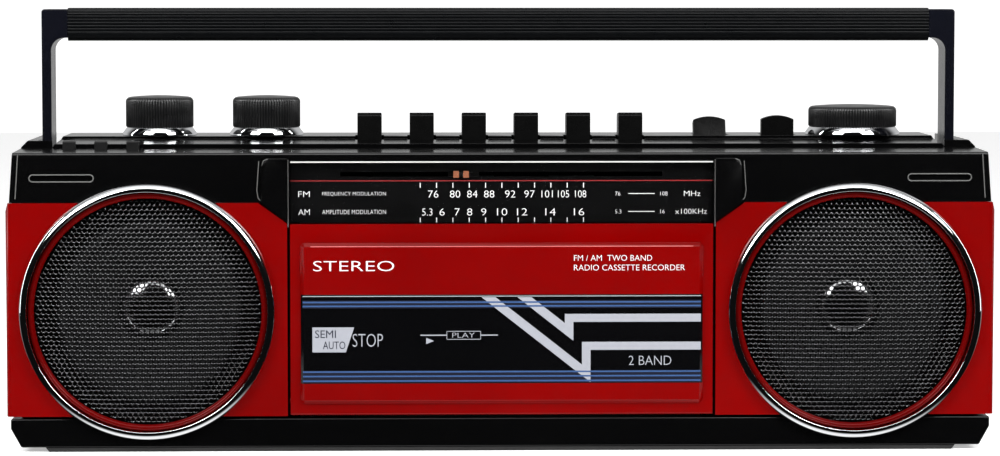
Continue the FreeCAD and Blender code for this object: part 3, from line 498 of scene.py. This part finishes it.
# ---- handle ----
def grip_section():
    """Rounded outline with lengthwise ribs above a plain lower edge."""
    half_y = (GRIP_HIGH.y - GRIP_LOW.y) / 2
    half_z = (GRIP_HIGH.z - GRIP_LOW.z) / 2
    corner = 3.0 * MM
    pitch = 1.25 * MM
    plain = GRIP_LOW.z + 2.9 * MM
    centre = (GRIP_LOW + GRIP_HIGH) / 2
    points = []
    corners = [(half_y, half_z, 0), (-half_y, half_z, 90), (-half_y, -half_z, 180), (half_y, -half_z, 270)]
    path = []
    for cy, cz, start in corners:
        middle = (cy - math.copysign(corner, cy), cz - math.copysign(corner, cz))
        path += arc(middle, (corner, corner), start, start + 90, 12)
    path.append(path[0])
    travelled = 0.0
    for (ay, az), (by, bz) in zip(path, path[1:]):
        length = math.hypot(by - ay, bz - az)
        steps = max(1, int(length / (0.12 * MM)))
        for i in range(steps):
            part = i / steps
            y, z = ay + (by - ay) * part, az + (bz - az) * part
            normal = Vector((bz - az, -(by - ay))).normalized()
            groove = 0.0
            if centre.z + z > plain:
                phase = (travelled + length * part) / pitch
                groove = 0.42 * MM * (1 - abs(math.sin(math.pi * phase))) ** 2
            points.append((centre.y + y - normal.x * groove, centre.z + z - normal.y * groove))
        travelled += length
    return points


def grip():
    points = grip_section()
    bm = bmesh.new()
    ends = []
    for x in (GRIP_LOW.x, GRIP_HIGH.x):
        ends.append([bm.verts.new((x, y, z)) for y, z in points])
    left, right = ends
    for k in range(len(points)):
        after = (k + 1) % len(points)
        bm.faces.new((left[k], left[after], right[after], right[k]))
    bm.faces.new(left)
    bm.faces.new(right[::-1])
    bmesh.ops.recalc_face_normals(bm, faces=bm.faces)
    obj = from_bmesh("grip_ribbed", bm, sharp=50)
    finish_piece(obj, "handle", GRIP_BLACK, ("handle_grip",))


# ---- print ----
INK = 0.03 * MM
PRINT_SHIFT = -0.7 * MM     # the words and bands sit a little left of the middle


def add_outline(bm, points, y):
    """Thin raised print from an outline of (x, z) points, its back on plane y."""
    face = bm.faces.new([bm.verts.new((x, y, z)) for x, z in points])
    out = bmesh.ops.extrude_face_region(bm, geom=[face])
    moved = [item for item in out["geom"] if isinstance(item, bmesh.types.BMVert)]
    bmesh.ops.translate(bm, verts=moved, vec=(0, -INK, 0))


def add_bar(bm, x, z, y):
    add_outline(bm, [(x[0], z[0]), (x[1], z[0]), (x[1], z[1]), (x[0], z[1])], y)


def add_words(bm, words, left, base, height, y, width=None, weight=-0.012, spacing=1.0):
    """Lettering with its left end and baseline at a place, capital height and width in metres."""
    curve = bpy.data.curves.new("words", "FONT")
    curve.body = words
    curve.resolution_u = 3
    curve.extrude = 0.0
    curve.offset = weight
    curve.space_character = spacing
    source = bpy.data.objects.new("words", curve)
    mesh = bpy.data.meshes.new_from_object(source)
    xs = [v.co.x for v in mesh.vertices]
    ys = [v.co.y for v in mesh.vertices]
    scale_z = height / (max(ys) - min(ys))
    scale_x = width / (max(xs) - min(xs)) if width else scale_z
    for vertex in mesh.vertices:
        x = left + (vertex.co.x - min(xs)) * scale_x
        z = base + (vertex.co.y - min(ys)) * scale_z
        vertex.co = (x, y - INK, z)
    bm.from_mesh(mesh)
    bpy.data.objects.remove(source)
    bpy.data.curves.remove(curve)
    bpy.data.meshes.remove(mesh)


def add_centred(bm, words, middle, base, height, y):
    """Lettering centred on a place, narrow enough to stay clear of its neighbours."""
    figures = len(words.replace(".", ""))
    width = height * (0.52 if figures > 2 else 0.72) * figures
    add_words(bm, words, middle - width / 2, base, height, y, width)


def print_piece(name, bm, body, ink, shift=0.0):
    bmesh.ops.translate(bm, verts=bm.verts, vec=(shift, 0, 0))
    bmesh.ops.recalc_face_normals(bm, faces=[f for f in bm.faces if len(f.verts) == 4])
    finish_piece(from_bmesh(name, bm, smooth=False), body, ink)


def window_print():
    """Lines, folded arrow bands and words on the cassette window."""
    left, right = WINDOW_LOW.x + 0.8 * MM, WINDOW_HIGH.x - 0.8 * MM
    top, bottom = WINDOW_HIGH.z, WINDOW_LOW.z
    y = WINDOW_LOW.y
    navy = bmesh.new()
    add_bar(navy, (left, right), (top - 5.2 * MM, top - 2.2 * MM), y)
    add_bar(navy, (left, right), (bottom + 0.3 * MM, bottom + 5.0 * MM), y)
    print_piece("window_navy", navy, "cassette_door", NAVY_INK)
    blue = bmesh.new()
    for rise in (-2.9, -4.4):
        add_bar(blue, (left, right), (top + (rise - 0.3) * MM, top + (rise + 0.3) * MM), y - INK)
    for rise in (4.5, 2.8, 1.0):
        add_bar(blue, (left, right), (bottom + (rise - 0.3) * MM, bottom + (rise + 0.3) * MM), y - INK)
    print_piece("window_blue", blue, "cassette_door", BLUE_INK)
    pale = bmesh.new()
    add_bar(pale, (left, right), (top - 0.75 * MM, top - 0.45 * MM), y)
    print_piece("window_line", pale, "cassette_door", GREY_INK)
    white = bmesh.new()
    for shift, knee, run, width in ((-7.2, 34.7, -19.8, 5.4), (6.6, 28.1, -9.0, 5.4)):
        rise = top - 1.0 * MM
        tip = rise - (knee - shift) * 0.785 * MM
        high = top + (run + 1.5) * MM
        low = top + (run - 1.6) * MM
        points = [(shift * MM, rise), ((shift + width) * MM, rise),
                  ((knee - 3.3) * MM, rise - (knee - 3.3 - shift - width) * 0.785 * MM),
                  ((knee - 3.3) * MM, high), (right - PRINT_SHIFT, high), (right - PRINT_SHIFT, low),
                  (knee * MM, low), (knee * MM, tip)]
        add_outline(white, points, y - 0.5 * INK)
    badge_low, badge_high = top - 22.1 * MM, top - 12.5 * MM
    badge = [(-72.0 * MM, badge_low), (-59.2 * MM, badge_low),
             (-56.0 * MM, badge_high), (-72.0 * MM, badge_high)]
    add_outline(white, badge, y)
    add_words(white, "STOP", -56.6 * MM, top - 20.0 * MM, 5.0 * MM, y, 11.6 * MM)
    add_words(white, "2 BAND", 49.4 * MM, top - 27.3 * MM, 3.6 * MM, y, 16.4 * MM)
    line = top - 15.6 * MM
    box_low, box_high = line - 1.7 * MM, line + 1.6 * MM
    hair = 0.22 * MM
    add_bar(white, (-30.6 * MM, -20.6 * MM), (line - hair, line + hair), y)
    add_bar(white, (-7.4 * MM, -0.9 * MM), (line - hair, line + hair), y)
    add_bar(white, (-20.6 * MM, -7.4 * MM), (box_high - hair, box_high), y)
    add_bar(white, (-20.6 * MM, -7.4 * MM), (box_low, box_low + hair), y)
    add_bar(white, (-20.6 * MM, -20.6 * MM + hair), (box_low, box_high), y)
    add_bar(white, (-7.4 * MM - hair, -7.4 * MM), (box_low, box_high), y)
    add_words(white, "PLAY", -18.4 * MM, box_low + 0.75 * MM, 1.9 * MM, y, 8.6 * MM)
    arrow = [(x * MM, line + z * MM) for x, z in ((-28.4, -3.4), (-25.4, -2.2), (-28.4, -1.0))]
    add_outline(white, arrow, y)
    print_piece("window_white", white, "cassette_door", WHITE_INK, PRINT_SHIFT)
    dark = bmesh.new()
    add_words(dark, "SEMI", -71.0 * MM, badge_low + 5.5 * MM, 3.0 * MM, y - INK, 8.0 * MM, 0.0)
    add_words(dark, "AUTO", -68.0 * MM, badge_low + 1.2 * MM, 3.0 * MM, y - INK, 8.6 * MM, 0.0)
    print_piece("badge_words", dark, "cassette_door", NAVY_INK, PRINT_SHIFT)


def door_print():
    """Plain lettering on the raised part of the door."""
    y = DOOR_FRONT
    bm = bmesh.new()
    add_words(bm, "STEREO", -71.6 * MM, WINDOW_HIGH.z + 9.1 * MM, 3.9 * MM, y, 31.0 * MM)
    add_words(bm, "FM / AM  TWO BAND", 28.3 * MM, WINDOW_HIGH.z + 12.9 * MM, 2.2 * MM, y, 30.0 * MM)
    add_words(bm, "RADIO CASSETTE RECORDER", 28.3 * MM, WINDOW_HIGH.z + 9.2 * MM, 2.2 * MM, y, 42.6 * MM)
    print_piece("door_words", bm, "cassette_door", DIAL_INK, PRINT_SHIFT)


# Dial figures with the place of each along the scale, in millimetres.
FM_MARKS = (
    (76, -25.6), (80, -17.2), (84, -10.6), (88, -4.1), (92, 4.0), (97, 11.4), (101, 18.2), (105, 24.5),
    (108, 31.1),
)
AM_MARKS = (
    (5.3, -27.9), (6, -22.2), (7, -16.4), (8, -11.6), (9, -6.2), (10, 0.9), (12, 8.6), (14, 19.5),
    (16, 30.5),
)


def dial_print():
    """Scales, tick marks and the red line on the plate behind the dial window."""
    y = SCALE_FRONT
    fm_base, am_base = DIAL_LOW.z + 9.6 * MM, DIAL_LOW.z + 2.7 * MM
    white = bmesh.new()
    for i in range(11):
        x = (-30.6 + 6.28 * i) * MM
        for low, high in ((13.4, 15.3), (0.1, 1.9)):
            add_bar(white, (x - 0.17 * MM, x + 0.17 * MM), (DIAL_LOW.z + low * MM, DIAL_LOW.z + high * MM), y)
    for marks, base in ((FM_MARKS, fm_base), (AM_MARKS, am_base)):
        for value, x in marks:
            add_centred(white, str(value), x * MM, base, 2.75 * MM, y)
    bands = (("FM", fm_base, "FREQUENCY MODULATION"), ("AM", am_base, "AMPLITUDE MODULATION"))
    for words, base, long_words in bands:
        add_words(white, words, -77.4 * MM, base + 0.3 * MM, 2.2 * MM, y, 4.4 * MM)
        add_words(white, long_words, -68.2 * MM, base + 0.6 * MM, 1.65 * MM, y, 24.4 * MM, -0.015, 1.06)
    for base, low_word, high_word in ((fm_base, "76", "108"), (am_base, "5.3", "16")):
        add_words(white, low_word, 44.4 * MM, base + 0.7 * MM, 1.5 * MM, y)
        add_words(white, high_word, 61.8 * MM, base + 0.7 * MM, 1.5 * MM, y)
        add_bar(white, (49.4 * MM, 59.6 * MM), (base + 1.35 * MM, base + 1.6 * MM), y)
    add_words(white, "MHz", 70.9 * MM, fm_base + 0.5 * MM, 2.0 * MM, y, 6.4 * MM)
    add_words(white, "x100KHz", 67.6 * MM, am_base + 0.5 * MM, 2.0 * MM, y, 12.2 * MM)
    print_piece("dial_white", white, "cabinet", DIAL_INK, PRINT_SHIFT)
    red = bmesh.new()
    add_bar(red, (DIAL_LOW.x, DIAL_HIGH.x), (DIAL_LOW.z + 15.9 * MM, DIAL_LOW.z + 16.3 * MM), y)
    print_piece("dial_red", red, "cabinet", RED_INK)


def add_block(bm, x, y, z):
    """Closed box between two places on each axis."""
    outline = ((x[0], y[0]), (x[1], y[0]), (x[1], y[1]), (x[0], y[1]))
    corners = [bm.verts.new((px, py, pz)) for pz in z for px, py in outline]
    for face in ((3, 2, 1, 0), (4, 5, 6, 7), (0, 1, 5, 4), (1, 2, 6, 5), (2, 3, 7, 6), (3, 0, 4, 7)):
        bm.faces.new([corners[k] for k in face])


def pointer():
    """Two orange blocks on a black carriage that hides behind the scale."""
    low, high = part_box("dial_pointer")
    middle = (low.x + high.x) / 2
    level = (low.z + high.z) / 2
    carriage = bmesh.new()
    add_block(carriage, (low.x, high.x), (high.y - 1.1 * MM, high.y), (low.z, high.z))
    add_block(carriage, (middle - 2.6 * MM, middle + 2.6 * MM), (low.y + 0.8 * MM, high.y - 1.1 * MM),
              (level - 0.6 * MM, level + 0.6 * MM))
    slide = from_bmesh("pointer_carriage", carriage, smooth=False)
    finish_piece(slide, BODY_OF["dial_pointer"], BLACK_MATT, ("dial_pointer",))
    blocks = bmesh.new()
    for shift in (-1.9, 1.9):
        x = middle + (shift - 1.0) * MM
        add_block(blocks, (x - 1.1 * MM, x + 1.1 * MM), (low.y, low.y + 1.2 * MM),
                  (level - 1.3 * MM, level + 1.3 * MM))
    obj = from_bmesh("pointer_blocks", blocks)
    round_edges(obj, 0.15 * MM, 2)
    finish_piece(obj, BODY_OF["dial_pointer"], ORANGE)


def bead(name, points, radius, material, closed=False, y=FRONT, body="cabinet"):
    """Fine half-round ridge on a front face, through (x, z) points, coloured as a painted highlight along an
    edge.
    """
    curve = bpy.data.curves.new(name, "CURVE")
    curve.dimensions = "3D"
    curve.bevel_depth = radius
    curve.bevel_resolution = 3
    spline = curve.splines.new("POLY")
    spline.points.add(len(points) - 1)
    for point, (x, z) in zip(spline.points, points):
        point.co = (x, y, z, 1.0)
    spline.use_cyclic_u = closed
    finish_piece(bpy.data.objects.new(name, curve), body, material)


# Outlines beside the dial pillars, where painted highlight ridges run, from the bottom up, as (x, z) in
# millimetres.
PILLAR_INNER = ((91.9, 96.8), (91.7, 110.6), (91.2, 111.9), (90.0, 112.5), (82.4, 112.5))
PILLAR_OUTER = ((92.5, 96.8), (93.3, 97.6), (93.8, 100.4), (93.0, 111.8))


def beads():
    """Light ridges along the end grooves, cabinet corners, dial pillars, dial lip and door panel: painted
    highlights standing in for the shine of those edges.
    """
    groove_x, groove_z, groove_r = 168.4 * MM, 105.3 * MM, 1.35 * MM
    reach = 10.9 * MM
    for name, side in (("left", -1), ("right", 1)):
        ends = arc((side * groove_x + reach, groove_z), (groove_r, groove_r), -90, 90, 8)
        ends += arc((side * groove_x - reach, groove_z), (groove_r, groove_r), 90, 270, 8)
        bead(name + "_groove_highlight", ends, 0.24 * MM, PAINTED_EDGE_HIGHLIGHT, closed=True)
        inner = [(side * x * MM, z * MM) for x, z in PILLAR_INNER]
        bead(name + "_pillar_highlight", inner, 0.2 * MM, PAINTED_EDGE_HIGHLIGHT)
        outer = [(side * x * MM, z * MM) for x, z in PILLAR_OUTER]
        bead(name + "_outer_highlight", outer, 0.2 * MM, PAINTED_EDGE_HIGHLIGHT)
        corner = [(side * x * MM, z * MM) for x, z in ((184.9, 114.2), (186.0, 97.4))]
        bead(name + "_corner_highlight", corner, 0.22 * MM, PAINTED_EDGE_HIGHLIGHT)
        post = [(side * 81.9 * MM, z * MM) for z in (86.5, 112.3)]
        bead(name + "_post_highlight", post, 0.2 * MM, PAINTED_EDGE_HIGHLIGHT)
    # Painted highlight: a near-white ridge along the top lip of the dial opening.
    lip = [(x * MM, 111.4 * MM) for x in (-81.0, 81.0)]
    bead("lip_highlight", lip, 0.28 * MM, PAINTED_LIP_HIGHLIGHT)
    # Painted highlight: a pink ridge along the top edge of the door's raised panel.
    edge = [(x * MM, 79.1 * MM) for x in (-73.4, 73.4)]
    bead("door_highlight", edge, 0.18 * MM, PAINTED_DOOR_HIGHLIGHT, y=DOOR_FRONT, body="cassette_door")


def belt_loop(name, wheels, y, thickness, body, material):
    """Closed belt round two wheels, each given as (x, z, radius)."""
    (ax, az, ar), (bx, bz, br) = wheels
    heading = math.atan2(bz - az, bx - ax)
    gap = math.acos((ar - br) / math.hypot(bx - ax, bz - az))
    points = []
    for (x, z, r), start, stop in ((wheels[0], heading + gap, heading + 2 * math.pi - gap),
                                   (wheels[1], heading - gap, heading + gap)):
        for i in range(25):
            angle = start + (stop - start) * i / 24
            points.append((x + r * math.cos(angle), y, z + r * math.sin(angle)))
    curve = bpy.data.curves.new(name, "CURVE")
    curve.dimensions = "3D"
    curve.bevel_depth = thickness / 2
    spline = curve.splines.new("POLY")
    spline.points.add(len(points) - 1)
    for point, place in zip(spline.points, points):
        point.co = (*place, 1.0)
    spline.use_cyclic_u = True
    finish_piece(bpy.data.objects.new(name, curve), body, material)


def mechanism():
    """Rubber drive belt between the motor pulley and the flywheel."""
    flywheel, pulley = centre_of("capstan_flywheel"), centre_of("motor_pulley")
    wheels = ((flywheel.x, flywheel.z, 21.4 * MM), (pulley.x, pulley.z, 4.4 * MM))
    belt_loop("drive_belt", wheels, -16.3 * MM, 0.8 * MM, "cabinet", RUBBER)


SOFT_EDGES = {
    "front_cabinet": 0.8, "rear_cabinet": 0.8, "top_deck": 0.6, "base_strip": 0.6, "foot_bars": 0.5,
    "left_speaker_panel": 0.7, "right_speaker_panel": 0.7, "door_panel": 0.9, "door_window": 0.15,
    "handle_arms": 0.5, "function_lever": 0.35, "band_lever": 0.35, "battery_door": 0.25,
    "media_sockets": 0.15, "ac_inlet": 0.2, "aerial_base": 0.2,
    **{key + "_key": 0.55 for key in ("rec", "play", "rewind", "forward", "stop", "pause")},
    **{"media_" + button + "_button": 0.2 for button in ("play", "back", "skip")},
}


def build_pieces():
    for node, width in SOFT_EDGES.items():
        softened(node, width * MM)
    rims()
    dark_rings()
    for side, node in ((-1, "left_grille"), (1, "right_grille")):
        grille(side, node)
    dust_caps()
    cones()
    knobs()
    grip()
    window_print()
    door_print()
    dial_print()
    pointer()
    beads()
    mechanism()


# ---- studio ----
LIGHT_AIM = Vector((0.0, 0.0, 0.08))


def area_light(name, place, size, power):
    data = bpy.data.lights.new(name, "AREA")
    data.shape = "RECTANGLE"
    data.size, data.size_y = size
    data.energy = power
    light = bpy.data.objects.new(name, data)
    bpy.context.scene.collection.objects.link(light)
    light.location = place
    direction = LIGHT_AIM - Vector(place)
    light.rotation_euler = direction.to_track_quat("-Z", "Y").to_euler()


def ramp(tree, value, start, stop, low, high):
    """Smooth step of a value between two strengths."""
    tone = tree.nodes.new("ShaderNodeMapRange")
    tone.interpolation_type = "SMOOTHSTEP"
    for name, setting in (("From Min", start), ("From Max", stop), ("To Min", low), ("To Max", high)):
        tone.inputs[name].default_value = setting
    tree.links.new(value, tone.inputs["Value"])
    return tone.outputs["Result"]


def studio_world():
    """White room: bright behind, above and below, dim at the sides and in front, so black stays black."""
    world = bpy.data.worlds.new("studio")
    bpy.context.scene.world = world
    world.use_nodes = True
    tree = world.node_tree
    room = tree.nodes["Background"]
    split = tree.nodes.new("ShaderNodeSeparateXYZ")
    tree.links.new(tree.nodes.new("ShaderNodeTexCoord").outputs["Generated"], split.inputs["Vector"])
    height = tree.nodes.new("ShaderNodeMath")
    height.operation = "ABSOLUTE"
    tree.links.new(split.outputs["Z"], height.inputs[0])
    brighter = tree.nodes.new("ShaderNodeMath")
    brighter.operation = "MAXIMUM"
    tree.links.new(ramp(tree, split.outputs["Y"], 0.15, 0.7, 0.004, 0.55), brighter.inputs[0])
    tree.links.new(ramp(tree, height.outputs["Value"], 0.62, 0.97, 0.004, 1.1), brighter.inputs[1])
    tree.links.new(brighter.outputs["Value"], room.inputs["Strength"])
    room.inputs["Color"].default_value = (1.0, 1.0, 1.0, 1.0)
    backdrop = add_node(tree, "ShaderNodeBackground", Strength=1.2)
    backdrop.inputs["Color"].default_value = (1.0, 1.0, 1.0, 1.0)
    either = tree.nodes.new("ShaderNodeMixShader")
    tree.links.new(tree.nodes.new("ShaderNodeLightPath").outputs["Is Camera Ray"], either.inputs["Fac"])
    tree.links.new(room.outputs["Background"], either.inputs[1])
    tree.links.new(backdrop.outputs["Background"], either.inputs[2])
    tree.links.new(either.outputs["Shader"], tree.nodes["World Output"].inputs["Surface"])


def studio_floor():
    size = 3.0
    mesh = bpy.data.meshes.new("floor")
    corners = [(-size, -size, 0), (size, -size, 0), (size, size, 0), (-size, size, 0)]
    mesh.from_pydata(corners, [], [(0, 1, 2, 3)])
    floor = bpy.data.objects.new("floor", mesh)
    bpy.context.scene.collection.objects.link(floor)
    material, tree, shader = new_material("floor_paper", (0.95, 0.95, 0.95), 0.6)
    tint(tree, shader, noise(tree, 3.0), (0.94, 0.94, 0.94), (0.96, 0.96, 0.96))
    shader.inputs["Emission Color"].default_value = (1.0, 1.0, 1.0, 1.0)
    shader.inputs["Emission Strength"].default_value = 0.4
    floor.data.materials.append(material)
    floor.visible_glossy = False


def camera():
    """Long lens a little to the left of the middle, a little above the top of the cabinet."""
    eye = Vector((-0.0345, FRONT - 1.2885, 0.1749))
    yaw = math.radians(1.501)
    pitch = math.radians(3.944)
    data = bpy.data.cameras.new("camera")
    data.lens = 121.27
    data.sensor_width = 36.0
    data.clip_start = 0.05
    cam = bpy.data.objects.new("camera", data)
    bpy.context.scene.collection.objects.link(cam)
    cam.location = eye
    cam.rotation_euler = (math.pi / 2 - pitch, 0.0, -yaw)
    bpy.context.scene.camera = cam


def studio():
    studio_world()
    studio_floor()
    camera()
    area_light("top_soft", (0.0, -0.85, 1.25), (1.3, 0.45), 9.0)
    for name, side in (("left", -1), ("right", 1)):
        area_light(name + "_soft", (side * 0.75, -0.9, 0.8), (0.6, 0.6), 14.0)
        area_light(name + "_strip", (side * 1.4, 0.1, 0.5), (0.1, 1.2), 3.0)


paint_cad_nodes()
build_pieces()
studio()
bpy.context.scene.view_settings.view_transform = "Standard"
